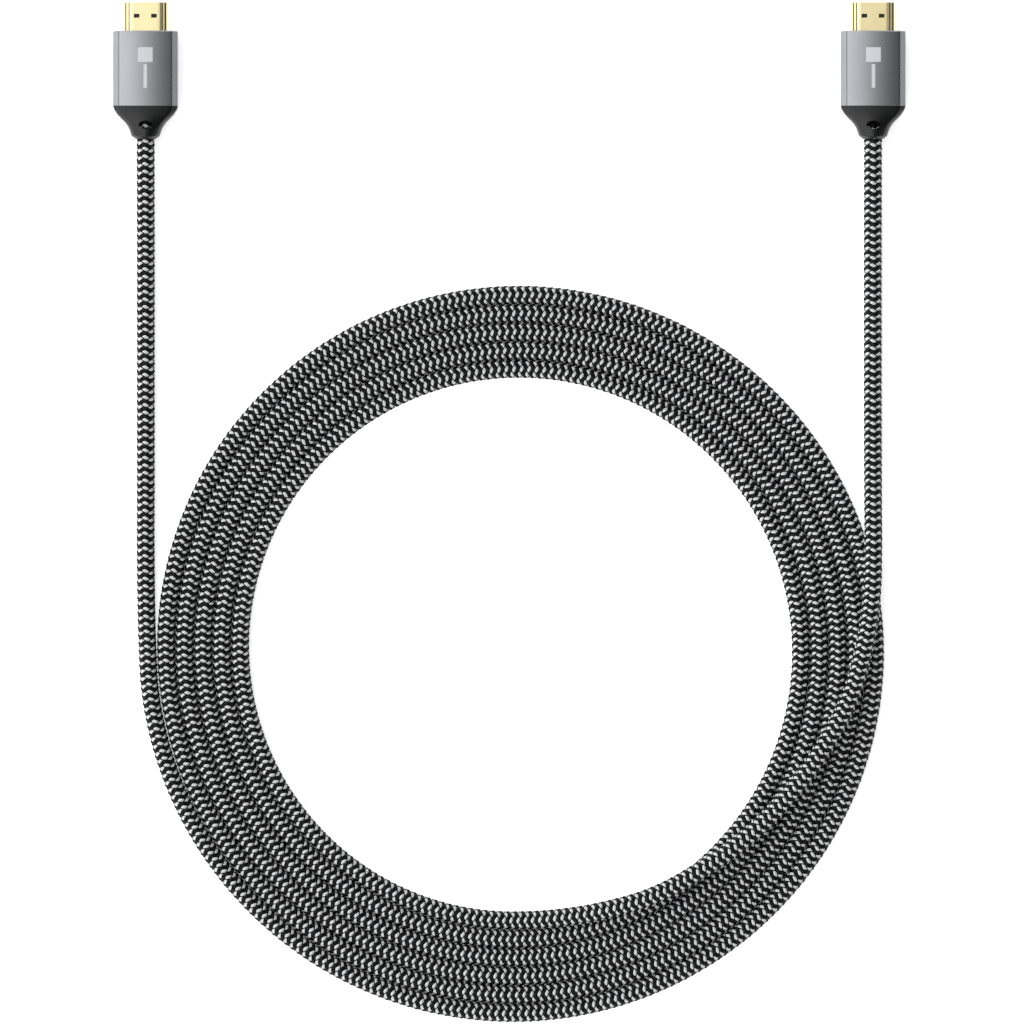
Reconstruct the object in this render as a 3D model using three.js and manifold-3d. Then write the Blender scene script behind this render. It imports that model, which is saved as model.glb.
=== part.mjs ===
import * as THREE from 'three';
import { mergeVertices } from 'three/addons/utils/BufferGeometryUtils.js';
import Module from 'manifold-3d';

// Braided video cable with a plug at each end, laid as a flat round coil. Millimetres, +Z up.
// The origin is on the floor midway between the plugs, +X runs from the left plug to the right
// one, and +Y points to the plug tips.

// Cord
const cordDiameter = 5.9;
const cordGap = 0.3;
const cordSides = 12;
// What a curve through the route's points sways off them, kept clear of the floor
const routeSway = 0.02;

// Coil
const coilTurns = 5;
const coilOuterRadius = 117.2;
const coilCentreX = 2.1;
const coilCentreY = -184;
const coilSegments = 60;

// Plugs: how far apart their axes lie, and the play between pieces that fit into each other
const plugSpacing = 231.3;
const fitClearance = 0.1;

// Metal shell, a stepped D in section with its narrow wall on top
const shellWidth = 13.9;
const shellHeight = 4.45;
const shellReach = 9.1;
const shellSeat = 6;
const shellWall = 0.35;
const shellCornerRadius = 0.6;
const shellNeckWidth = 10.4;
const shellNeckHeight = 1.25;
const shellStepRadius = 0.75;
const shellFilletRadius = 0.3;
const latchWidth = 1.77;
const latchLength = 1.2;
const latchSpacing = 5.5;
const latchSetback = 4.3;

// Insulator inside the shell, with the slot that takes the socket's tongue
const insulatorRecess = 0.6;
const slotWidth = 11;
const slotHeight = 1.6;
const slotDepth = 7.5;
const slotFloor = 0.5;

// Contacts, one row of ten under the slot and one of nine above it
const contactPitch = 1;
const contactWidth = 0.45;
const contactThickness = 0.2;
const contactSetback = 0.5;
const lowerContacts = 10;

// Housing, a crowned block with a chamfered band down each edge
const housingWidth = 20.6;
const housingHeight = 10.8;
const housingLength = 23.9;
const faceFlatWidth = 3;
const faceCrown = 0.5;
const bandWidth = 1.9;
const bandDrop = 1.6;
const rimChamfer = 0.3;

// Boot, which narrows from the housing's outline to a round neck
const bootLength = 10.4;
const bootInset = 0.05;
const neckDiameter = 9.5;
const neckEndRadius = 0.7;
const boreEndWall = 1.2;
const windowWidth = 4.3;
const windowLength = 2.6;
const windowSetback = 6;
const sleeveWall = 2.4;
const spigotLength = 3.5;
const spigotCornerRadius = 1;
const flareSteps = 10;
const longestFacet = 2.1;

const cordRadius = cordDiameter / 2;
const plugLength = shellReach + housingLength + bootLength;
const plugX = plugSpacing / 2;
const shoulderY = plugLength / 2 - shellReach;
const axisHeight = housingHeight / 2;
const slotBottom = slotFloor + shellWall + fitClearance - shellHeight / 2;

const goldPlate = { color: 0xe8cc86, roughness: 0.22, metalness: 1 };
const anodisedAluminium = { color: 0x8e8f93, roughness: 0.35, metalness: 1 };
const bootPlastic = { color: 0x1c1d1f, roughness: 0.42, metalness: 0 };
const insulatorPlastic = { color: 0x0e0e0f, roughness: 0.6, metalness: 0 };
const braid = { color: 0x57585a, roughness: 0.85, metalness: 0 };

const wasm = await Module();
wasm.setup();

// Booleans

function solidOf(geometry) {
  geometry.deleteAttribute('normal');
  geometry.deleteAttribute('uv');
  const merged = mergeVertices(geometry);
  return new wasm.Manifold(new wasm.Mesh({
    numProp: 3,
    vertProperties: merged.attributes.position.array,
    triVerts: Uint32Array.from(merged.index.array),
  }));
}

function geometryOf(solid) {
  const { vertProperties, triVerts } = solid.getMesh();
  const geometry = new THREE.BufferGeometry();
  geometry.setAttribute('position', new THREE.BufferAttribute(vertProperties, 3));
  geometry.setIndex(new THREE.BufferAttribute(triVerts, 1));
  geometry.computeVertexNormals();
  return geometry;
}

function named(name, geometry, look) {
  const mesh = new THREE.Mesh(geometry, new THREE.MeshStandardMaterial(look));
  mesh.name = name;
  return mesh;
}

// Outlines across the plug: x is the width and y the height, counter-clockwise

function mirrored(rightHalf) {
  const leftHalf = rightHalf.map((point) => new THREE.Vector2(-point.x, point.y));
  return [...rightHalf, ...leftHalf.reverse()];
}

function shellOutline() {
  const right = shellWidth / 2;
  const neck = shellNeckWidth / 2;
  const top = shellHeight / 2;
  const ledge = top - shellNeckHeight;
  const corner = shellCornerRadius;
  const step = shellStepRadius;
  const fillet = shellFilletRadius;
  const half = new THREE.Path();
  half.moveTo(right - corner, -top);
  half.absarc(right - corner, -top + corner, corner, -Math.PI / 2, 0);
  half.absarc(right - step, ledge - step, step, 0, Math.PI / 2);
  half.absarc(neck + fillet, ledge + fillet, fillet, -Math.PI / 2, -Math.PI, true);
  half.absarc(neck - corner, top - corner, corner, 0, Math.PI / 2);
  return mirrored(half.getPoints(2));
}

function housingOutline() {
  const right = housingWidth / 2;
  const top = housingHeight / 2;
  const face = right - bandWidth;
  const flat = faceFlatWidth / 2;
  const faceEdge = top - faceCrown;
  const half = new THREE.Path();
  half.moveTo(flat, -top);
  half.quadraticCurveTo((flat + face) / 2, -top, face, -faceEdge);
  half.lineTo(right, bandDrop - faceEdge);
  half.lineTo(right, faceEdge - bandDrop);
  half.lineTo(face, faceEdge);
  half.quadraticCurveTo((flat + face) / 2, top, flat, top);
  return mirrored(half.getPoints(4));
}

// The boot's spigot, or with a clearance the pocket that it sits in
function spigotOutline(clearance = 0) {
  const right = housingWidth / 2 - sleeveWall + clearance;
  const top = housingHeight / 2 - sleeveWall + clearance;
  const corner = spigotCornerRadius + clearance;
  const half = new THREE.Path();
  half.moveTo(right - corner, -top);
  half.absarc(right - corner, corner - top, corner, -Math.PI / 2, 0);
  half.absarc(right - corner, top - corner, corner, 0, Math.PI / 2);
  return mirrored(half.getPoints(2));
}

function inward(from, to) {
  return new THREE.Vector2(from.y - to.y, to.x - from.x).normalize();
}

function inset(outline, distance) {
  return outline.map((point, i) => {
    const before = inward(outline.at(i - 1), point);
    const after = inward(point, outline[(i + 1) % outline.length]);
    const middle = before.clone().add(after).normalize();
    return point.clone().addScaledVector(middle, distance / middle.dot(after));
  });
}

function subdivided(outline, longest) {
  return outline.flatMap((point, i) => {
    const next = outline[(i + 1) % outline.length];
    const parts = Math.ceil(point.distanceTo(next) / longest);
    return Array.from({ length: parts }, (_, part) => point.clone().lerp(next, part / parts));
  });
}

// Solids of the plug, whose own Y axis runs to the tip from the housing's front face

function prism(outline, back, front, chamfer = 0) {
  const geometry = new THREE.ExtrudeGeometry(new THREE.Shape(outline), {
    depth: front - back - 2 * chamfer,
    bevelEnabled: chamfer > 0,
    bevelThickness: chamfer,
    bevelSize: chamfer,
    bevelOffset: -chamfer,
    bevelSegments: 1,
  });
  return geometry.rotateX(Math.PI / 2).translate(0, front - chamfer, 0);
}

function lofted(rings) {
  const sides = rings[0].length;
  const spans = rings.length - 1;
  const geometry = new THREE.CylinderGeometry(1, 1, 1, sides, spans);
  geometry.deleteAttribute('normal');
  geometry.deleteAttribute('uv');
  const merged = mergeVertices(geometry);
  const position = merged.attributes.position;
  for (let i = 0; i < position.count; i += 1) {
    const [x, y, z] = [position.getX(i), position.getY(i), position.getZ(i)];
    const ring = rings[Math.round((0.5 - y) * spans)];
    const side = Math.round((Math.atan2(x, z) / (2 * Math.PI)) * sides);
    const point = ring.at(side % sides);
    const onAxis = Math.hypot(x, z) < 0.5;
    position.setXYZ(i, onAxis ? 0 : point.x, point.y, onAxis ? 0 : point.z);
  }
  return merged;
}

function shellGeometry() {
  const outline = shellOutline();
  const cavity = prism(inset(outline, shellWall), -shellSeat - 1, shellReach + 1);
  let shell = solidOf(prism(outline, -shellSeat, shellReach)).subtract(solidOf(cavity));
  for (const side of [-1, 1]) {
    const hole = new THREE.BoxGeometry(latchWidth, latchLength, 2 * shellHeight);
    hole.translate((side * latchSpacing) / 2, shellReach - latchSetback, 0);
    shell = shell.subtract(solidOf(hole));
  }
  return geometryOf(shell);
}

function insulatorGeometry() {
  const outline = inset(shellOutline(), shellWall + fitClearance);
  const front = shellReach - insulatorRecess;
  const slot = new THREE.BoxGeometry(slotWidth, 2 * slotDepth, slotHeight);
  slot.translate(0, front, slotBottom + slotHeight / 2);
  return geometryOf(solidOf(prism(outline, -shellSeat, front)).subtract(solidOf(slot)));
}

function contacts(side) {
  const front = shellReach - insulatorRecess;
  const length = slotDepth - contactSetback;
  const rows = [
    { place: 'lower', count: lowerContacts, z: slotBottom + contactThickness / 2 },
    { place: 'upper', count: lowerContacts - 1, z: slotBottom + slotHeight - contactThickness / 2 },
  ];
  return rows.flatMap(({ place, count, z }) => Array.from({ length: count }, (_, i) => {
    const geometry = new THREE.BoxGeometry(contactWidth, length, contactThickness);
    const contact = named(`${side}_${place}_contact_${i + 1}`, geometry, goldPlate);
    contact.position.set(contactPitch * (i - (count - 1) / 2), front - slotDepth + length / 2, z);
    return contact;
  }));
}

function housingGeometry() {
  const shellPocket = prism(inset(shellOutline(), -fitClearance), -shellSeat - fitClearance, 1);
  const spigotPocket = prism(
    spigotOutline(fitClearance),
    -housingLength - 1,
    spigotLength + fitClearance - housingLength,
  );
  return geometryOf(
    solidOf(prism(housingOutline(), -housingLength, 0, rimChamfer))
      .subtract(solidOf(shellPocket))
      .subtract(solidOf(spigotPocket)),
  );
}

function bootRing(outline, setback, blend, radius) {
  return outline.map((point) => {
    const angle = Math.atan2(point.y / housingHeight, point.x / housingWidth);
    const round = new THREE.Vector2(radius * Math.cos(angle), radius * Math.sin(angle));
    const { x, y } = point.clone().lerp(round, blend);
    return new THREE.Vector3(x, -housingLength - setback, y);
  });
}

function bootGeometry() {
  const outline = subdivided(inset(housingOutline(), bootInset), longestFacet);
  const neckRadius = neckDiameter / 2;
  const flare = bootLength - neckEndRadius;
  const rings = [];
  for (let i = 0; i <= flareSteps; i += 1) {
    const along = i / flareSteps;
    rings.push(bootRing(outline, flare * along, (1 - Math.cos(Math.PI * along)) / 2, neckRadius));
  }
  for (const angle of [Math.PI / 6, Math.PI / 3, Math.PI / 2]) {
    const radius = neckRadius - neckEndRadius * (1 - Math.cos(angle));
    rings.push(bootRing(outline, flare + neckEndRadius * Math.sin(angle), 1, radius));
  }
  const spigot = prism(spigotOutline(), -housingLength - 1, spigotLength - housingLength);
  const boreRadius = cordRadius + cordGap;
  const bore = new THREE.CylinderGeometry(boreRadius, boreRadius, bootLength, 24);
  bore.translate(0, -housingLength - boreEndWall - bootLength / 2, 0);
  const window = new THREE.CylinderGeometry(windowWidth / 2, windowWidth / 2, 2 * housingHeight, 20);
  window.rotateX(Math.PI / 2).scale(1, windowLength / windowWidth, 1);
  window.translate(0, -housingLength - windowSetback, 0);
  return geometryOf(
    solidOf(lofted(rings.reverse()))
      .add(solidOf(spigot))
      .subtract(solidOf(bore))
      .subtract(solidOf(window)),
  );
}

function plug(side, x) {
  const group = new THREE.Group();
  group.position.set(x, shoulderY, axisHeight);
  group.add(
    named(`${side}_shell`, shellGeometry(), goldPlate),
    named(`${side}_insulator`, insulatorGeometry(), insulatorPlastic),
    ...contacts(side),
    named(`${side}_housing`, housingGeometry(), anodisedAluminium),
    named(`${side}_boot`, bootGeometry(), bootPlastic),
  );
  return group;
}

// Cord: each lead starts inside its boot. The left one lies flat up to the coil's outer edge,
// and the right one climbs onto the turns and crosses them to their inner edge.

const leadStartY = shoulderY - housingLength - boreEndWall - cordGap;
const neckEndY = -plugLength / 2;
const onFloor = cordRadius + routeSway;
const onCoil = cordDiameter + cordGap + cordRadius;

const leftRoute = [
  [-plugX, leadStartY, axisHeight],
  [-plugX, neckEndY, axisHeight],
  [-plugX, -36, onFloor + 1.65],
  [-plugX, -50, onFloor + 0.45],
  [-plugX, -64, onFloor + 0.1],
  [-plugX, -95, onFloor],
  [-plugX, -128, onFloor],
  [-plugX, -158, onFloor],
];

const rightRoute = [
  [plugX, leadStartY, axisHeight],
  [plugX, neckEndY, axisHeight],
  [plugX, -36, onFloor + 1.65],
  [plugX, -50, onFloor + 0.45],
  [plugX, -64, onFloor + 0.1],
  [plugX, -88, onFloor],
  [plugX, -110, onFloor + 0.25],
  [plugX, -125, onFloor + 1.45],
  [plugX, -139, onFloor + 4.25],
  [plugX, -152, onCoil],
  [115.1, -168.3, onCoil],
  [112.6, -184.2, onCoil],
  [107.8, -200.1, onCoil],
  [99.6, -215.6, onCoil],
  [89.4, -229.6, onCoil],
  [76, -243.4, onCoil],
  [60.2, -254.5, onCoil],
  [52.6, -258.9, onCoil],
];

function tubeGeometry(route, steps) {
  const section = new THREE.Shape(
    Array.from({ length: cordSides }, (_, side) => {
      const angle = (2 * Math.PI * side) / cordSides;
      return new THREE.Vector2(cordRadius * Math.cos(angle), cordRadius * Math.sin(angle));
    }),
  );
  const extrudePath = new THREE.CatmullRomCurve3(route.map((point) => new THREE.Vector3(...point)));
  return new THREE.ExtrudeGeometry(section, { steps, extrudePath, bevelEnabled: false });
}

function coilGeometry() {
  const innerRadius = coilOuterRadius - coilTurns * cordDiameter;
  const turnRadii = Array.from({ length: coilTurns }, (_, i) => innerRadius + cordDiameter * (i + 0.5));
  const around = (turnRadius, degrees) => {
    const angle = THREE.MathUtils.degToRad(degrees);
    const radius = turnRadius + cordRadius * Math.cos(angle);
    return new THREE.Vector2(radius, cordRadius * (1 + Math.sin(angle)));
  };
  const underside = turnRadii.flatMap((radius) => [210, 270, 330].map((at) => around(radius, at)));
  const outerEdge = around(turnRadii.at(-1), 0);
  const innerEdge = around(turnRadii[0], 180);
  const top = turnRadii.reverse().flatMap(
    (radius) => [30, 60, 90, 120, 150].map((at) => around(radius, at)),
  );
  const profile = [...underside, outerEdge, ...top, innerEdge, underside[0]];
  return new THREE.LatheGeometry(profile, coilSegments).rotateX(Math.PI / 2);
}

const coil = named('cord_coil', coilGeometry(), braid);
coil.position.set(coilCentreX, coilCentreY, 0);

const cable = new THREE.Group();
cable.add(
  plug('left', -plugX),
  plug('right', plugX),
  named('cord_left_lead', tubeGeometry(leftRoute, 12), braid),
  named('cord_right_lead', tubeGeometry(rightRoute, 26), braid),
  coil,
);

export default cable;
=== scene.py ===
import bpy
import bmesh
from math import atan2, ceil, cos, hypot, pi, radians, sin
from mathutils import Matrix, Vector


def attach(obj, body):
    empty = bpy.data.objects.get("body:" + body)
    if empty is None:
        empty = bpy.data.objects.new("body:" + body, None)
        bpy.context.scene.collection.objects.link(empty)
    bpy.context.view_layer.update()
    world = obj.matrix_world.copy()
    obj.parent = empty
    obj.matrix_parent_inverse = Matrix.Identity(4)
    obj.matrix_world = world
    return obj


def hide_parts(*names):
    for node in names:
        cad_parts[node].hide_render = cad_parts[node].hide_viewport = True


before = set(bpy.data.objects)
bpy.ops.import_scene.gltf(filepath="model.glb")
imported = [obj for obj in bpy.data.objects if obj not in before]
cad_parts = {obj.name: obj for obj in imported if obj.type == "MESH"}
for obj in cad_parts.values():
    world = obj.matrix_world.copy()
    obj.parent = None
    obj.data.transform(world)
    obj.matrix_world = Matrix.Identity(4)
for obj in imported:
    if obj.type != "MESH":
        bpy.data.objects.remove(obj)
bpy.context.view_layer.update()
mm = 0.001


# camera: the photo looks straight down with no perspective to speak of, one pixel is 0.318 mm
overhead = {
    "lens": 500,
    "centre": (0.00086, -0.14033),  # metres, the point under the middle of the picture
    "frameWidth": 0.32563,  # metres seen across the picture at the plugs' middle height
    "aimHeight": 0.0054,
}


def buildCamera():
    data = bpy.data.cameras.new("overhead")
    data.lens = overhead["lens"]
    data.clip_end = 10
    camera = bpy.data.objects.new("overhead", data)
    distance = overhead["frameWidth"] * data.lens / data.sensor_width
    camera.location = (*overhead["centre"], overhead["aimHeight"] + distance)
    bpy.context.collection.objects.link(camera)
    bpy.context.scene.camera = camera
    bpy.context.scene.view_settings.view_transform = "Standard"
    print("camera over the middle of the cable")


buildCamera()


# small helpers
def linear(code):
    parts = [int(code[i:i + 2], 16) / 255 for i in (1, 3, 5)]
    return [c / 12.92 if c <= 0.04045 else ((c + 0.055) / 1.055) ** 2.4 for c in parts] + [1]


def newMaterial(name):
    material = bpy.data.materials.new(name)
    material.use_nodes = True
    return material, material.node_tree, material.node_tree.nodes["Principled BSDF"]


def addNode(tree, kind, inputs={}, **settings):
    node = tree.nodes.new("ShaderNode" + kind)
    for key, value in settings.items():
        setattr(node, key, value)
    for key, value in inputs.items():
        if isinstance(value, bpy.types.NodeSocket):
            tree.links.new(value, node.inputs[key])
        else:
            node.inputs[key].default_value = value
    return node


def setStops(node, stops):
    ramp = node.color_ramp
    while len(ramp.elements) < len(stops):
        ramp.elements.new(1)
    for element, (place, colour) in zip(ramp.elements, stops):
        element.position = place
        element.color = colour


def newPiece(name, bm, material, sharpAngle=35):
    mesh = bpy.data.meshes.new(name)
    bm.to_mesh(mesh)
    bm.free()
    mesh.materials.append(material)
    mesh.shade_smooth()
    mesh.set_sharp_from_angle(angle=radians(sharpAngle))
    piece = bpy.data.objects.new(name, mesh)
    bpy.context.collection.objects.link(piece)
    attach(piece, "root")
    return piece


def arc(cx, cz, radius, start, end, steps):
    angles = [radians(start + (end - start) * i / steps) for i in range(steps + 1)]
    return [(cx + radius * cos(a), cz + radius * sin(a)) for a in angles]


def mirrored(half):
    return half + [(-x, z) for x, z in reversed(half)]


def addRing(bm, outline, y):
    verts = [bm.verts.new((x * mm, y * mm, z * mm)) for x, z in outline]
    return [bm.edges.new((verts[i - 1], verts[i])) for i in range(len(verts))]


def loft(bm, rings):
    loops = [addRing(bm, outline, y) for outline, y in rings]
    for first, second in zip(loops, loops[1:]):
        bmesh.ops.bridge_loops(bm, edges=first + second)
    return loops


# cord: one smooth line from the left boot round the coil to the right boot, in metres
cord = {
    "diameter": 0.0059,
    "length": 3.8,
    "exit": (-0.11565, -0.0217, 0.0054),
    "coilCentre": (0.0021, -0.184),
    "coilRadius": 0.1172,
    "turns": 5.25,
    "pointsPerTurn": 60,
    "onFloor": 0.00305,
    "onCoil": 0.00915,
    "coreRadius": 0.00274,
}


def cordRoute():
    low, high = cord["onFloor"], cord["onCoil"]
    cx, cy = cord["coilCentre"]
    # the left lead runs from inside its boot down to the floor
    left = [(-0.0128, 0.0054), (-0.0217, 0.0054), (-0.036, low + 0.00165), (-0.05, low + 0.00045),
            (-0.064, low + 0.0001), (-0.095, low), (-0.128, low), (-0.158, low)]
    route = [(-0.11565, y, z) for y, z in left]
    count = round(cord["turns"] * cord["pointsPerTurn"])
    for i in range(count + 1):
        turned = i / cord["pointsPerTurn"]
        radius = cord["coilRadius"] - cord["diameter"] * turned
        angle = pi + 2 * pi * turned
        route.append((cx + radius * cos(angle), cy + radius * sin(angle), low))
    climb = [(-80.3, 0.0865, 0.00535), (-70.4, 0.0877, 0.00735), (-60.4, 0.0897, 0.00855)]
    for degrees, radius, z in climb:  # from the inner turn up on to the others
        angle = radians(degrees)
        route.append((cx + radius * cos(angle), cy + radius * sin(angle), z))
    over = [(0.0602, -0.2545), (0.076, -0.2434), (0.0894, -0.2296), (0.0996, -0.2156),
            (0.1078, -0.2001), (0.1126, -0.1842), (0.1151, -0.1683)]
    route += [(x, y, high) for x, y in over]
    # the right lead comes off the turns, down to the floor and up into its boot
    right = [(-0.152, high), (-0.139, low + 0.00425), (-0.125, low + 0.00145), (-0.11, low + 0.00025),
             (-0.088, low), (-0.064, low + 0.0001), (-0.05, low + 0.00045), (-0.036, low + 0.00165),
             (-0.0217, 0.0054), (-0.0128, 0.0054)]
    return route + [(0.11565, y, z) for y, z in right]


def buildLine(name, bevel):
    data = bpy.data.curves.new(name, "CURVE")
    data.dimensions = "3D"
    data.twist_mode = "Z_UP"  # keeps the braid's same column facing up all the way
    data.resolution_u = 5
    data.bevel_depth = bevel
    data.bevel_resolution = 2
    data.use_fill_caps = bevel > 0
    data.use_deform_bounds = False
    spline = data.splines.new("BEZIER")
    route = cordRoute()
    spline.bezier_points.add(len(route) - 1)
    for point, place in zip(spline.bezier_points, route):
        point.co = place
        point.handle_left_type = point.handle_right_type = "AUTO"
    line = bpy.data.objects.new(name, data)
    bpy.context.collection.objects.link(line)
    return line


# yarn, polyester multifilament: soft sheen, filaments run along each float.
# Real filaments are 0.02 mm, drawn 0.12 mm wide so that they show.
# the darkest colour of each look is painted shade for the float ends
yarnLooks = {
    "light": {"hollow": "#9A9B9D", "crest": "#E9EAEB", "endShade": "#2A2A2B", "rough": 0.55, "sheen": 0.1},
    "dark": {"hollow": "#020202", "crest": "#0C0C0D", "endShade": "#020202", "rough": 0.65, "sheen": 0},
}


def yarnMaterial(shade):
    look = yarnLooks[shade]
    material, tree, surface = newMaterial(shade + "PolyesterYarn")
    place = addNode(tree, "UVMap", uv_map="OFBake")
    stretch = addNode(tree, "Mapping", {"Vector": place.outputs[0], "Scale": (1.1, 9, 1)})
    strands = addNode(tree, "TexNoise", {"Vector": stretch.outputs[0], "Scale": 1, "Detail": 2})
    tones = addNode(tree, "ValToRGB", {"Fac": strands.outputs["Fac"]})
    setStops(tones, [(0.32, linear(look["hollow"])), (0.62, linear(look["crest"]))])
    # painted shade: each float's colour darkens towards its ends, where it dives under its neighbours
    ends = addNode(tree, "SeparateXYZ", {"Vector": place.outputs[0]})
    middle = addNode(tree, "Math", {0: ends.outputs["X"], 1: 0.5}, operation="SUBTRACT")
    outward = addNode(tree, "Math", {0: middle.outputs[0]}, operation="ABSOLUTE")
    dive = addNode(tree, "MapRange", {"Value": outward.outputs[0], "From Min": 0.37, "From Max": 0.5})
    colour = addNode(tree, "Mix", {0: dive.outputs[0], 6: tones.outputs[0], 7: linear(look["endShade"])},
                     data_type="RGBA")
    bump = addNode(tree, "Bump", {"Height": strands.outputs["Fac"], "Strength": 0.5, "Distance": 0.00006})
    tree.links.new(colour.outputs[2], surface.inputs["Base Color"])
    tree.links.new(bump.outputs[0], surface.inputs["Normal"])
    surface.inputs["Roughness"].default_value = look["rough"]
    surface.inputs["Sheen Weight"].default_value = look["sheen"]
    surface.inputs["Sheen Roughness"].default_value = 0.4
    surface.inputs["Specular IOR Level"].default_value = 0.22
    return material


# braid: sixteen yarns, eight each way, over two and under two, so floats stand in eight columns
braid = {
    "columns": 8,
    "rowPitch": 1.2,  # mm along the cord
    "slope": 28,  # degrees from straight across
    "floatLength": 2.15,
    "floatWidth": 1.16,
    "radius": 2.95,
    "crown": 0.15,
    "dive": 0.32,
    "kinds": [("light", 0, 0, 1), ("dark", 0, 1.2, 1), ("light", 1, 0.6, -1), ("dark", 1, 1.8, -1)],
}


def buildFloats(line, cordLength):
    pieces = []
    looks = {shade: yarnMaterial(shade) for shade in yarnLooks}
    rise, run = sin(radians(braid["slope"])), cos(radians(braid["slope"]))
    repeat = 2 * braid["rowPitch"]
    for shade, odd, shift, lean in braid["kinds"]:
        bm = bmesh.new()
        bm.loops.layers.uv.new("OFBake")
        for column in range(odd, braid["columns"], 2):
            made = bmesh.ops.create_grid(bm, x_segments=4, y_segments=3, size=1, calc_uvs=True)
            for vert in made["verts"]:
                s, t = vert.co.x, vert.co.y
                along, across = s * braid["floatLength"] / 2, t * braid["floatWidth"] / 2
                radius = braid["radius"] - braid["crown"] * t * t - braid["dive"] * abs(s) ** 3
                angle = run * (along + across) / braid["radius"] + 2 * pi * column / braid["columns"]
                x = shift + lean * rise * (along - across)
                vert.co = Vector((x, radius * sin(angle), radius * cos(angle))) * mm
        if lean < 0:
            bmesh.ops.reverse_faces(bm, faces=bm.faces)
        name = shade + ("Right" if lean > 0 else "Left") + "HandYarn"
        unit = newPiece(name + "Repeat", bm, looks[shade], 180)
        array = unit.modifiers.new("rows", "ARRAY")
        array.fit_type = "FIXED_COUNT"
        array.count = int(cordLength / (repeat * mm)) - 1
        array.use_relative_offset = False
        array.use_constant_offset = True
        array.constant_offset_displace = (repeat * mm, 0, 0)
        bend = unit.modifiers.new("route", "CURVE")
        bend.object = line
        bend.deform_axis = "POS_X"
        mesh = bpy.data.meshes.new_from_object(unit.evaluated_get(bpy.context.evaluated_depsgraph_get()))
        bpy.data.objects.remove(unit)
        mesh.name = name
        piece = bpy.data.objects.new(name, mesh)
        bpy.context.collection.objects.link(piece)
        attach(piece, "root")
        pieces.append(piece)
    return pieces


# filler under the braid: dark fleece wrap, only seen between the yarns
def coreMaterial():
    material, tree, surface = newMaterial("darkFleeceWrap")
    place = addNode(tree, "TexCoord")
    fuzz = addNode(tree, "TexNoise", {"Vector": place.outputs["Object"], "Scale": 2500, "Detail": 3})
    tones = addNode(tree, "ValToRGB", {"Fac": fuzz.outputs["Fac"]})
    setStops(tones, [(0.3, linear("#030303")), (0.7, linear("#0C0C0D"))])
    tree.links.new(tones.outputs[0], surface.inputs["Base Color"])
    surface.inputs["Roughness"].default_value = 0.9
    surface.inputs["Specular IOR Level"].default_value = 0.1
    return material


def buildCord():
    guide = buildLine("guide", 0)
    spline = guide.data.splines[0]
    cordLength = spline.calc_length()
    floats = buildFloats(guide, cordLength)
    bpy.data.objects.remove(guide)
    core = buildLine("cordCore", cord["coreRadius"])
    core.data.materials.append(coreMaterial())
    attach(core, "root")
    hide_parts("cord_left_lead", "cord_coil", "cord_right_lead")
    print("cord laid,", round(cordLength, 3), "m with", sum(len(f.data.polygons) for f in floats), "faces")


buildCord()


# plugs: sizes in mm, Y runs to the tip from the housing's front face
plug = {
    "x": 115.65,
    "shoulderY": 12.6,
    "axisHeight": 5.4,
}

shell = {
    "width": 13.9,
    "height": 4.45,
    "reach": 9.1,
    "seat": 6,
    "wall": 0.35,
    "corner": 0.6,
    "neckWidth": 10.4,
    "neckHeight": 1.25,
    "step": 0.75,
    "fillet": 0.3,
    "latch": (1.77, 1.2),
    "latchSpacing": 5.5,
    "latchSetback": 4.3,
    "folds": (5.22, 6.27),  # from the plug's middle line
    "foldHalfWidth": 0.19,
    "rim": 0.06,
}


def shellOutline(grow=0):
    right, neck, top = shell["width"] / 2 + grow, shell["neckWidth"] / 2 + grow, shell["height"] / 2 + grow
    ledge = top - shell["neckHeight"]
    corner, step, fillet = shell["corner"] + grow, shell["step"] + grow, max(shell["fillet"] - grow, 0.05)
    half = arc(right - corner, corner - top, corner, -90, 0, 4)
    half += arc(right - step, ledge - step, step, 0, 90, 4)
    half += arc(neck + fillet, ledge + fillet, fillet, -90, -180, 3)
    half += arc(neck - corner, top - corner, corner, 0, 90, 4)
    return mirrored(half)


def placePlug(bm, side):
    bmesh.ops.translate(bm, verts=bm.verts[:], vec=(side * plug["x"] * mm, plug["shoulderY"] * mm,
                                                    plug["axisHeight"] * mm))


# distance of a surface point from its own plug's middle line, either side, in metres
def offCentre(tree, spot):
    out = addNode(tree, "Math", {0: spot.outputs["X"]}, operation="ABSOLUTE")
    off = addNode(tree, "Math", {0: out.outputs[0], 1: plug["x"] * mm}, operation="SUBTRACT")
    return addNode(tree, "Math", {0: off.outputs[0]}, operation="ABSOLUTE")


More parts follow.
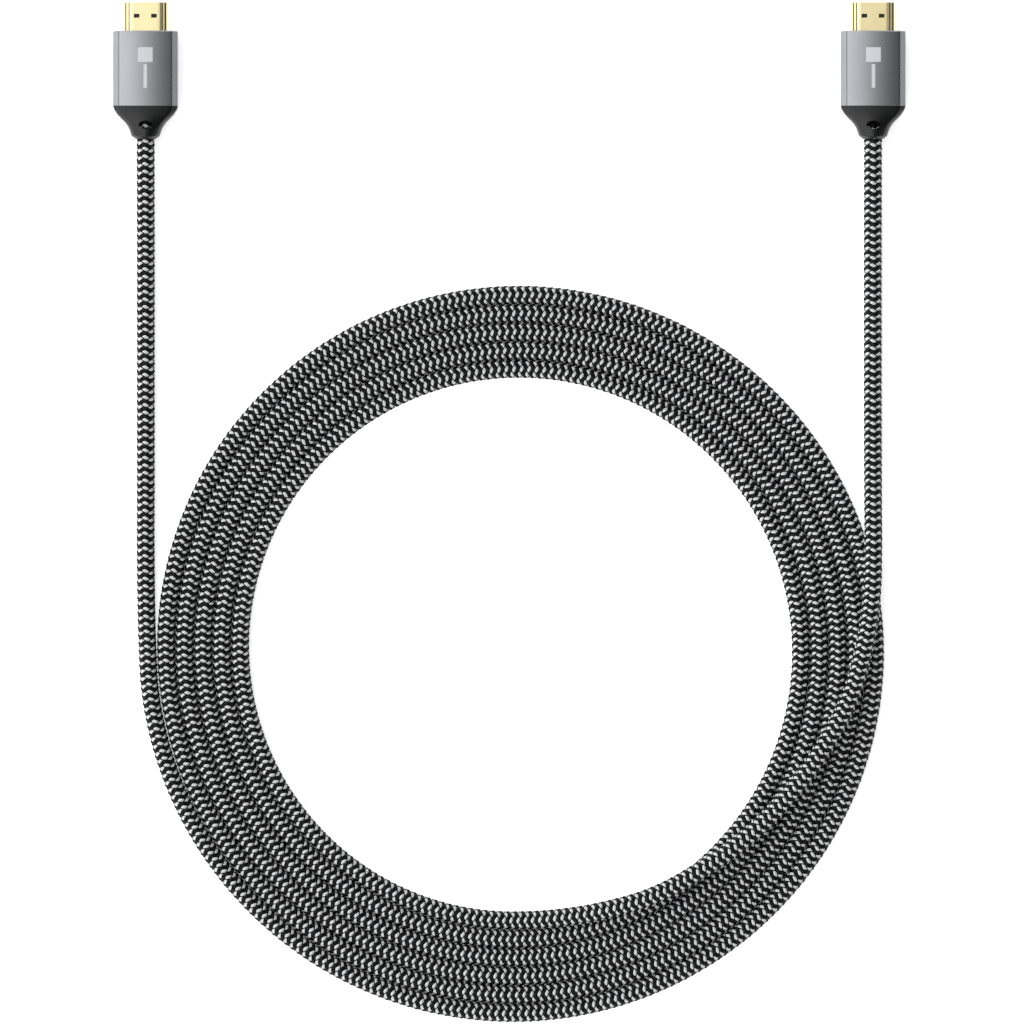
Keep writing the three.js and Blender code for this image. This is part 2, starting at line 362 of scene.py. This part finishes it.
# gold plating over nickel, polished: warm mirror with very faint handling haze
def goldMaterial():
    material, tree, surface = newMaterial("polishedGoldPlating")
    place = addNode(tree, "TexCoord")
    haze = addNode(tree, "TexNoise", {"Vector": place.outputs["Object"], "Scale": 180, "Detail": 4})
    tones = addNode(tree, "ValToRGB", {"Fac": haze.outputs["Fac"]})
    setStops(tones, [(0.3, linear("#F6E6B1")), (0.7, linear("#FAECBB"))])
    gloss = addNode(tree, "MapRange", {"Value": haze.outputs["Fac"], "To Min": 0.2, "To Max": 0.26})
    # the shade along the two folds on each side of the stepped wall is painted, as dark brown lines
    spot = addNode(tree, "SeparateXYZ", {"Vector": place.outputs["Object"]})
    aside = offCentre(tree, spot)
    folds = [addNode(tree, "Math", {0: aside.outputs[0], 1: fold * mm, 2: shell["foldHalfWidth"] * mm},
                     operation="COMPARE") for fold in shell["folds"]]
    either = addNode(tree, "Math", {0: folds[0].outputs[0], 1: folds[1].outputs[0]}, operation="MAXIMUM")
    upper = addNode(tree, "Math", {0: spot.outputs["Z"], 1: plug["axisHeight"] * mm},
                    operation="GREATER_THAN")
    foldShade = addNode(tree, "Math", {0: either.outputs[0], 1: upper.outputs[0]}, operation="MULTIPLY")
    colour = addNode(tree, "Mix", {0: foldShade.outputs[0], 6: tones.outputs[0], 7: linear("#3A3320")},
                     data_type="RGBA")
    tree.links.new(colour.outputs[2], surface.inputs["Base Color"])
    tree.links.new(gloss.outputs[0], surface.inputs["Roughness"])
    surface.inputs["Metallic"].default_value = 1
    return material


def buildShell(side, name, material):
    bm = bmesh.new()
    outline = shellOutline()
    loft(bm, [(outline, -shell["seat"]), (outline, shell["reach"])])
    bmesh.ops.recalc_face_normals(bm, faces=bm.faces[:])
    halfWide, halfLong = shell["latch"][0] / 2, shell["latch"][1] / 2
    middle = shell["reach"] - shell["latchSetback"]
    xCuts = [s * shell["latchSpacing"] / 2 + e * halfWide for s in (-1, 1) for e in (-1, 1)]
    cuts = [((x * mm, 0, 0), (1, 0, 0)) for x in xCuts]
    cuts += [((0, (middle + e * halfLong) * mm, 0), (0, 1, 0)) for e in (-1, 1)]
    for point, normal in cuts:
        bmesh.ops.bisect_plane(bm, geom=bm.verts[:] + bm.edges[:] + bm.faces[:], dist=1e-7,
                               plane_co=point, plane_no=normal)
    windows = []
    for face in bm.faces:
        spot = face.calc_center_median() / mm
        inLong = abs(spot.y - middle) < halfLong
        inWide = abs(abs(spot.x) - shell["latchSpacing"] / 2) < halfWide
        if inLong and inWide and abs(face.normal.z) > 0.9:
            windows.append(face)
    bmesh.ops.delete(bm, geom=windows, context="FACES")
    placePlug(bm, side)
    piece = newPiece(name, bm, material, 40)
    wall = piece.modifiers.new("wall", "SOLIDIFY")
    wall.thickness = shell["wall"] * mm
    wall.offset = -1
    wall.use_even_offset = True
    rim = piece.modifiers.new("rim", "BEVEL")
    rim.width = shell["rim"] * mm
    rim.segments = 2
    rim.limit_method = "ANGLE"
    rim.angle_limit = radians(60)
    flats = piece.modifiers.new("flats", "WEIGHTED_NORMAL")
    flats.keep_sharp = True
    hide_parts(name.replace("Shell", "_shell"))


housing = {
    "width": 20.6,
    "height": 10.8,
    "length": 23.9,
    "crown": 0.5,
    "crownSteps": 9,
    "band": (1.9, 1.6),
    "chamfer": 0.3,
    "rearChamfer": 0.1,
    "pocketDepth": 3.6,
    "pocketWall": 2.3,
    "play": 0.1,
    "edgeRadius": 0.12,
    "marks": [(2.35, 5.3, 9.95), (0.55, 10.7, 18.2)],  # half width, then start and end from the front
    "ridge": (8.42, 0.15),  # from the plug's middle line, and its half width
}


def housingOutline(shrink=0):
    right, top = housing["width"] / 2 - shrink, housing["height"] / 2 - shrink
    bandWide, bandDrop = housing["band"]
    face, steps = right - bandWide + shrink * 0.4, housing["crownSteps"]
    edge = top - housing["crown"]
    quarter = [(face * (i + 0.5) / (steps + 0.5), top - housing["crown"] * ((i + 0.5) / (steps + 0.5)) ** 2)
               for i in range(steps + 1)]
    quarter.append((right, edge - bandDrop))
    half = [(x, -z) for x, z in quarter] + list(reversed(quarter))
    return mirrored(half)


def spigotOutline(grow=0):
    right = housing["width"] / 2 - housing["pocketWall"] - housing["play"] + grow
    top = housing["height"] / 2 - housing["pocketWall"] - housing["play"] + grow
    corner = 1 + grow
    half = arc(right - corner, corner - top, corner, -90, 0, 3)
    half += arc(right - corner, top - corner, corner, 0, 90, 3)
    return mirrored(half)


# aluminium, fine bead blasted and anodised grey: satin, with a fine sparkle of 0.2 mm grain
def housingMaterial():
    material, tree, surface = newMaterial("blastedAnodisedAluminium")
    place = addNode(tree, "TexCoord")
    grit = addNode(tree, "TexNoise", {"Vector": place.outputs["Object"], "Scale": 5000, "Detail": 2})
    cloud = addNode(tree, "TexNoise", {"Vector": place.outputs["Object"], "Scale": 120, "Detail": 3})
    tones = addNode(tree, "ValToRGB", {"Fac": cloud.outputs["Fac"]})
    setStops(tones, [(0.3, linear("#949599")), (0.7, linear("#999A9E"))])
    spot = addNode(tree, "SeparateXYZ", {"Vector": place.outputs["Object"]})
    # pale printed square and bar, plain, on the upper face only
    aside = offCentre(tree, spot)
    upper = addNode(tree, "Math", {0: spot.outputs["Z"], 1: (housing["height"] - 1.8) * mm},
                    operation="GREATER_THAN")
    parts = []
    for halfWide, start, end in housing["marks"]:
        middle = (plug["shoulderY"] - (start + end) / 2) * mm
        wide = addNode(tree, "Math", {0: aside.outputs[0], 1: halfWide * mm}, operation="LESS_THAN")
        away = addNode(tree, "Math", {0: spot.outputs["Y"], 1: middle}, operation="SUBTRACT")
        along = addNode(tree, "Math", {0: away.outputs[0]}, operation="ABSOLUTE")
        tall = addNode(tree, "Math", {0: along.outputs[0], 1: (end - start) / 2 * mm}, operation="LESS_THAN")
        parts.append(addNode(tree, "Math", {0: wide.outputs[0], 1: tall.outputs[0]}, operation="MULTIPLY"))
    both = addNode(tree, "Math", {0: parts[0].outputs[0], 1: parts[1].outputs[0]}, operation="MAXIMUM")
    ink = addNode(tree, "Math", {0: both.outputs[0], 1: upper.outputs[0]}, operation="MULTIPLY")
    # the shade along the edge between the crown and the side band is painted as well
    ridgeAt, ridgeHalf = housing["ridge"]
    ridge = addNode(tree, "Math", {0: aside.outputs[0], 1: ridgeAt * mm, 2: ridgeHalf * mm},
                    operation="COMPARE")
    ridged = addNode(tree, "Mix", {0: ridge.outputs[0], 6: tones.outputs[0], 7: linear("#66676A")},
                     data_type="RGBA")
    colour = addNode(tree, "Mix", {0: ink.outputs[0], 6: ridged.outputs[2], 7: linear("#CDCFD3")},
                     data_type="RGBA")
    metal = addNode(tree, "MapRange", {"Value": ink.outputs[0], "To Min": 1, "To Max": 0})
    gloss = addNode(tree, "MapRange", {"Value": grit.outputs["Fac"], "To Min": 0.24, "To Max": 0.3})
    bump = addNode(tree, "Bump", {"Height": grit.outputs["Fac"], "Strength": 0.1, "Distance": 0.00002})
    tree.links.new(colour.outputs[2], surface.inputs["Base Color"])
    tree.links.new(metal.outputs[0], surface.inputs["Metallic"])
    tree.links.new(gloss.outputs[0], surface.inputs["Roughness"])
    tree.links.new(bump.outputs[0], surface.inputs["Normal"])
    return material


def buildHousing(side, name, material):
    bm = bmesh.new()
    rim, lip, long = housing["chamfer"], housing["rearChamfer"], housing["length"]
    mouth, back = shellOutline(housing["play"]), spigotOutline(housing["play"])
    outer, inner, innerRear = housingOutline(), housingOutline(rim), housingOutline(lip)
    front = loft(bm, [(mouth, -shell["seat"] - housing["play"]), (mouth, 0)])
    body = loft(bm, [(inner, 0), (outer, -rim), (outer, lip - long), (innerRear, -long)])
    rear = loft(bm, [(back, -long), (back, housing["pocketDepth"] - long)])
    for edges in (front[0], front[1] + body[0], body[-1] + rear[0], rear[1]):
        bmesh.ops.triangle_fill(bm, use_beauty=True, use_dissolve=True, edges=edges)
    bmesh.ops.recalc_face_normals(bm, faces=bm.faces[:])
    corners = [e for e in bm.edges if e.is_manifold and abs(e.verts[0].co.y - e.verts[1].co.y) > 10 * mm
               and e.calc_face_angle() > radians(20)]
    bmesh.ops.bevel(bm, geom=corners, offset=housing["edgeRadius"] * mm, affect="EDGES", segments=2,
                    profile=0.5, material=-1)
    placePlug(bm, side)
    piece = newPiece(name, bm, material, 25)
    flats = piece.modifiers.new("flats", "WEIGHTED_NORMAL")
    flats.keep_sharp = True
    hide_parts(name.replace("Housing", "_housing"))


boot = {
    "neckRadius": 4.4,
    # distance from the housing, and how far the section has turned from the housing's to the neck's
    "waist": [(0, 0), (0.6, 0.02), (1.2, 0.06), (1.9, 0.13), (2.7, 0.215), (3.4, 0.325), (4.2, 0.455),
              (5, 0.59), (5.7, 0.69), (6.5, 0.785), (7.2, 0.845), (8, 0.895), (8.8, 0.94), (9.4, 0.975)],
    # distance from the housing, and radius, round the end of the neck
    "end": [(9.6, 4.36), (9.75, 4.2), (9.88, 3.95), (10.15, 3.6), (10.4, 3.32)],
    "bore": 3.25,
    "boreWall": 1.2,
    "window": (4.3, 2.6, 6),
    "inset": 0.05,
    "spigotDepth": 3.5,
}


def subdivided(outline, longest):
    points = []
    for i, (x, z) in enumerate(outline):
        nx, nz = outline[(i + 1) % len(outline)]
        parts = ceil(hypot(nx - x, nz - z) / longest)
        points += [(x + (nx - x) * k / parts, z + (nz - z) * k / parts) for k in range(parts)]
    return points


# moulded PVC strain relief, satin black with a fine mould grain of 0.2 mm
def bootMaterial():
    material, tree, surface = newMaterial("mouldedBlackPvc")
    place = addNode(tree, "TexCoord")
    grain = addNode(tree, "TexNoise", {"Vector": place.outputs["Object"], "Scale": 3500, "Detail": 2})
    cloud = addNode(tree, "TexNoise", {"Vector": place.outputs["Object"], "Scale": 150, "Detail": 3})
    tones = addNode(tree, "ValToRGB", {"Fac": cloud.outputs["Fac"]})
    setStops(tones, [(0.3, linear("#08090A")), (0.7, linear("#0C0D0E"))])
    bump = addNode(tree, "Bump", {"Height": grain.outputs["Fac"], "Strength": 0.3, "Distance": 0.00003})
    gloss = addNode(tree, "MapRange", {"Value": grain.outputs["Fac"], "To Min": 0.28, "To Max": 0.36})
    tree.links.new(tones.outputs[0], surface.inputs["Base Color"])
    tree.links.new(gloss.outputs[0], surface.inputs["Roughness"])
    tree.links.new(bump.outputs[0], surface.inputs["Normal"])
    surface.inputs["Specular IOR Level"].default_value = 0.4
    return material


def cutterPiece(bm):
    mesh = bpy.data.meshes.new("cutter")
    bmesh.ops.recalc_face_normals(bm, faces=bm.faces[:])
    bm.to_mesh(mesh)
    bm.free()
    cutter = bpy.data.objects.new("cutter", mesh)
    bpy.context.collection.objects.link(cutter)
    return cutter


def buildBoot(side, name, material):
    outline = subdivided(housingOutline(boot["inset"]), 0.9)
    long, neck = housing["length"], boot["neckRadius"]

    def bootRing(setback, blend, radius):
        points = []
        for x, z in outline:
            angle = atan2(z / housing["height"], x / housing["width"])
            points.append((x + (radius * cos(angle) - x) * blend, z + (radius * sin(angle) - z) * blend))
        return points, -long - setback

    rings = [bootRing(setback, blend, neck) for setback, blend in boot["waist"]]
    rings += [bootRing(setback, 1, radius) for setback, radius in boot["end"]]
    bm = bmesh.new()
    loops = loft(bm, rings)
    spigot = loft(bm, [(spigotOutline(), boot["spigotDepth"] - long), (spigotOutline(), -long)])
    for edges in (spigot[0], spigot[1] + loops[0], loops[-1]):
        bmesh.ops.triangle_fill(bm, use_beauty=True, use_dissolve=True, edges=edges)
    bmesh.ops.recalc_face_normals(bm, faces=bm.faces[:])
    placePlug(bm, side)
    piece = newPiece(name, bm, material, 40)
    wide, tall, setback = boot["window"]
    bore, hole = bmesh.new(), bmesh.new()
    bmesh.ops.create_cone(bore, cap_ends=True, segments=40, radius1=boot["bore"] * mm,
                          radius2=boot["bore"] * mm, depth=12 * mm)
    bmesh.ops.rotate(bore, verts=bore.verts[:], matrix=Matrix.Rotation(pi / 2, 3, "X"))
    bmesh.ops.translate(bore, verts=bore.verts[:], vec=(0, (-long - boot["boreWall"] - 6) * mm, 0))
    bmesh.ops.create_cone(hole, cap_ends=True, segments=40, radius1=wide / 2 * mm, radius2=wide / 2 * mm,
                          depth=20 * mm)
    bmesh.ops.scale(hole, verts=hole.verts[:], vec=(1, tall / wide, 1))
    bmesh.ops.translate(hole, verts=hole.verts[:], vec=(0, (-long - setback) * mm, 0))
    cutters = []
    for cut in (bore, hole):
        placePlug(cut, side)
        cutters.append(cutterPiece(cut))
        step = piece.modifiers.new("cut", "BOOLEAN")
        step.object = cutters[-1]
        step.operation = "DIFFERENCE"
        step.solver = "EXACT"
    mesh = bpy.data.meshes.new_from_object(piece.evaluated_get(bpy.context.evaluated_depsgraph_get()))
    piece.modifiers.clear()
    piece.data = mesh
    mesh.shade_smooth()
    mesh.set_sharp_from_angle(angle=radians(40))
    for cutter in cutters:
        bpy.data.objects.remove(cutter)
    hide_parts(name.replace("Boot", "_boot"))


# liquid crystal polymer insert: matte black, faint flow mottling
def insulatorMaterial():
    material, tree, surface = newMaterial("blackLcpInsert")
    place = addNode(tree, "TexCoord")
    mottle = addNode(tree, "TexNoise", {"Vector": place.outputs["Object"], "Scale": 900, "Detail": 3})
    tones = addNode(tree, "ValToRGB", {"Fac": mottle.outputs["Fac"]})
    setStops(tones, [(0.3, linear("#0A0A0B")), (0.7, linear("#151516"))])
    bump = addNode(tree, "Bump", {"Height": mottle.outputs["Fac"], "Strength": 0.2, "Distance": 0.00003})
    tree.links.new(tones.outputs[0], surface.inputs["Base Color"])
    tree.links.new(bump.outputs[0], surface.inputs["Normal"])
    surface.inputs["Roughness"].default_value = 0.6
    return material


def dressNode(name, material):
    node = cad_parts[name]
    for slot in node.material_slots:
        slot.material = material
    if not node.material_slots:
        node.data.materials.append(material)


def buildPlugs():
    gold, metal, rubber, insert = goldMaterial(), housingMaterial(), bootMaterial(), insulatorMaterial()
    for side, word in [(-1, "left"), (1, "right")]:
        buildShell(side, word + "Shell", gold)
        buildHousing(side, word + "Housing", metal)
        buildBoot(side, word + "Boot", rubber)
        dressNode(word + "_insulator", insert)
        for row, count in [("lower", 10), ("upper", 9)]:
            for i in range(count):
                dressNode(f"{word}_{row}_contact_{i + 1}", gold)
    print("plugs built")


buildPlugs()


# studio: back-lit white floor that washes shadows out, soft light that falls off from left to right
studio = {
    "floorSize": 4,
    "floorGlow": 0.65,
    "shade": (0.1015, 0.0125),  # metres: the coil's middle radius, and half the width left dark
    # brightness of the surroundings by direction, from the left, -1, to the right, 1
    "sky": [(-1, 1.6), (-0.35, 2.0), (-0.2, 2.15), (0, 0.93), (0.12, 0.32), (0.25, 0.06), (0.6, 0.04),
            (0.85, 0.45), (1, 0.85)],
}


def buildStudio():
    bm = bmesh.new()
    bmesh.ops.create_grid(bm, x_segments=1, y_segments=1, size=studio["floorSize"] / 2)
    mesh = bpy.data.meshes.new("studioFloor")
    bm.to_mesh(mesh)
    bm.free()
    material, tree, surface = newMaterial("whitePaper")
    surface.inputs["Base Color"].default_value = linear("#FAFAFA")
    surface.inputs["Roughness"].default_value = 0.9
    surface.inputs["Emission Color"].default_value = linear("#FFFFFF")
    # painted shade: the glow stops under the coil, so its turns have no bright slits between them
    place = addNode(tree, "TexCoord")
    centre = addNode(tree, "VectorMath", {0: place.outputs["Object"], 1: (*cord["coilCentre"], 0)},
                     operation="DISTANCE")
    radius, halfWidth = studio["shade"]
    ring = addNode(tree, "Math", {0: centre.outputs["Value"], 1: radius, 2: halfWidth},
                   operation="COMPARE")
    glow = addNode(tree, "MapRange", {"Value": ring.outputs[0], "To Min": studio["floorGlow"], "To Max": 0})
    tree.links.new(glow.outputs[0], surface.inputs["Emission Strength"])
    mesh.materials.append(material)
    floor = bpy.data.objects.new("studioFloor", mesh)
    bpy.context.collection.objects.link(floor)
    world = bpy.data.worlds.new("softStudio")
    bpy.context.scene.world = world
    world.use_nodes = True
    tree = world.node_tree
    way = addNode(tree, "TexCoord")
    spot = addNode(tree, "SeparateXYZ", {"Vector": way.outputs["Generated"]})
    place = addNode(tree, "MapRange", {"Value": spot.outputs["X"], "From Min": -1, "To Min": 0, "To Max": 1})
    tones = addNode(tree, "ValToRGB", {"Fac": place.outputs[0]})
    setStops(tones, [((x + 1) / 2, (v / 4, v / 4, v / 4, 1)) for x, v in studio["sky"]])
    sky = tree.nodes["Background"]
    tree.links.new(tones.outputs[0], sky.inputs["Color"])
    sky.inputs["Strength"].default_value = 4
    print("studio lit")


buildStudio()

bpy.context.view_layer.update()
